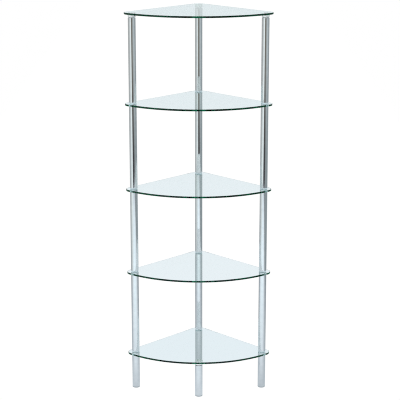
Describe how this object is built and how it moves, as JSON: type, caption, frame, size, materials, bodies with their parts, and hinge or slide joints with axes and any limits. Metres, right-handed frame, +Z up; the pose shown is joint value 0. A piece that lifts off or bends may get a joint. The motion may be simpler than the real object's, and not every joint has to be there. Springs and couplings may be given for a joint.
{
  "type": "corner shelf unit",
  "caption": "Free-standing corner shelf unit: quarter-round clear glass shelves clamped between stacked chromed tube posts, with a front leg under the curved edge.",
  "frame": {"origin": "on the floor, under the middle of the footprint's square", "axes": "+Z up; the room's walls lie along the -X side and the +Y side, and the curved front faces +X and -Y"},
  "size_m": [0.35, 0.35, 1.2695],
  "materials": {
    "clear_glass": "polished, toughened",
    "chrome_tube": "bright chrome plate",
    "chrome_disc": "satin chrome plate",
    "ring_plastic": "milky, moulded",
    "zinc_plated_steel": "zinc plate",
    "foot_plastic": "moulded"
  },
  "bodies": {
    "root": {"back_foot_cap": "foot_plastic", "back_leg_tube": "chrome_tube", "back_post_tube_1": "chrome_tube", "back_post_tube_2": "chrome_tube", "back_post_tube_3": "chrome_tube", "back_post_tube_4": "chrome_tube", "back_top_disc": "chrome_disc", "disc_studs": "zinc_plated_steel", "disc_washers": "zinc_plated_steel", "front_foot_cap": "foot_plastic", "front_leg_disc": "chrome_disc", "front_leg_tube": "chrome_tube", "glass_shelf_1": "clear_glass", "glass_shelf_2": "clear_glass", "glass_shelf_3": "clear_glass", "glass_shelf_4": "clear_glass", "glass_shelf_5": "clear_glass", "left_foot_cap": "foot_plastic", "left_leg_tube": "chrome_tube", "left_post_tube_1": "chrome_tube", "left_post_tube_2": "chrome_tube", "left_post_tube_3": "chrome_tube", "left_post_tube_4": "chrome_tube", "left_top_disc": "chrome_disc", "leg_tube_plugs": "zinc_plated_steel", "right_foot_cap": "foot_plastic", "right_leg_tube": "chrome_tube", "right_post_tube_1": "chrome_tube", "right_post_tube_2": "chrome_tube", "right_post_tube_3": "chrome_tube", "right_post_tube_4": "chrome_tube", "right_top_disc": "chrome_disc", "shelf_2_flanged_bushes": "ring_plastic", "shelf_2_studs": "zinc_plated_steel", "shelf_2_upper_washers": "ring_plastic", "shelf_3_flanged_bushes": "ring_plastic", "shelf_3_studs": "zinc_plated_steel", "shelf_3_upper_washers": "ring_plastic", "shelf_4_flanged_bushes": "ring_plastic", "shelf_4_studs": "zinc_plated_steel", "shelf_4_upper_washers": "ring_plastic", "shelf_5_flanged_bushes": "ring_plastic", "shelf_5_studs": "zinc_plated_steel", "shelf_5_upper_washers": "ring_plastic", "tier_1_tube_plugs": "zinc_plated_steel", "tier_2_tube_plugs": "zinc_plated_steel", "tier_3_tube_plugs": "zinc_plated_steel", "tier_4_tube_plugs": "zinc_plated_steel"}
  },
  "joints": []
}
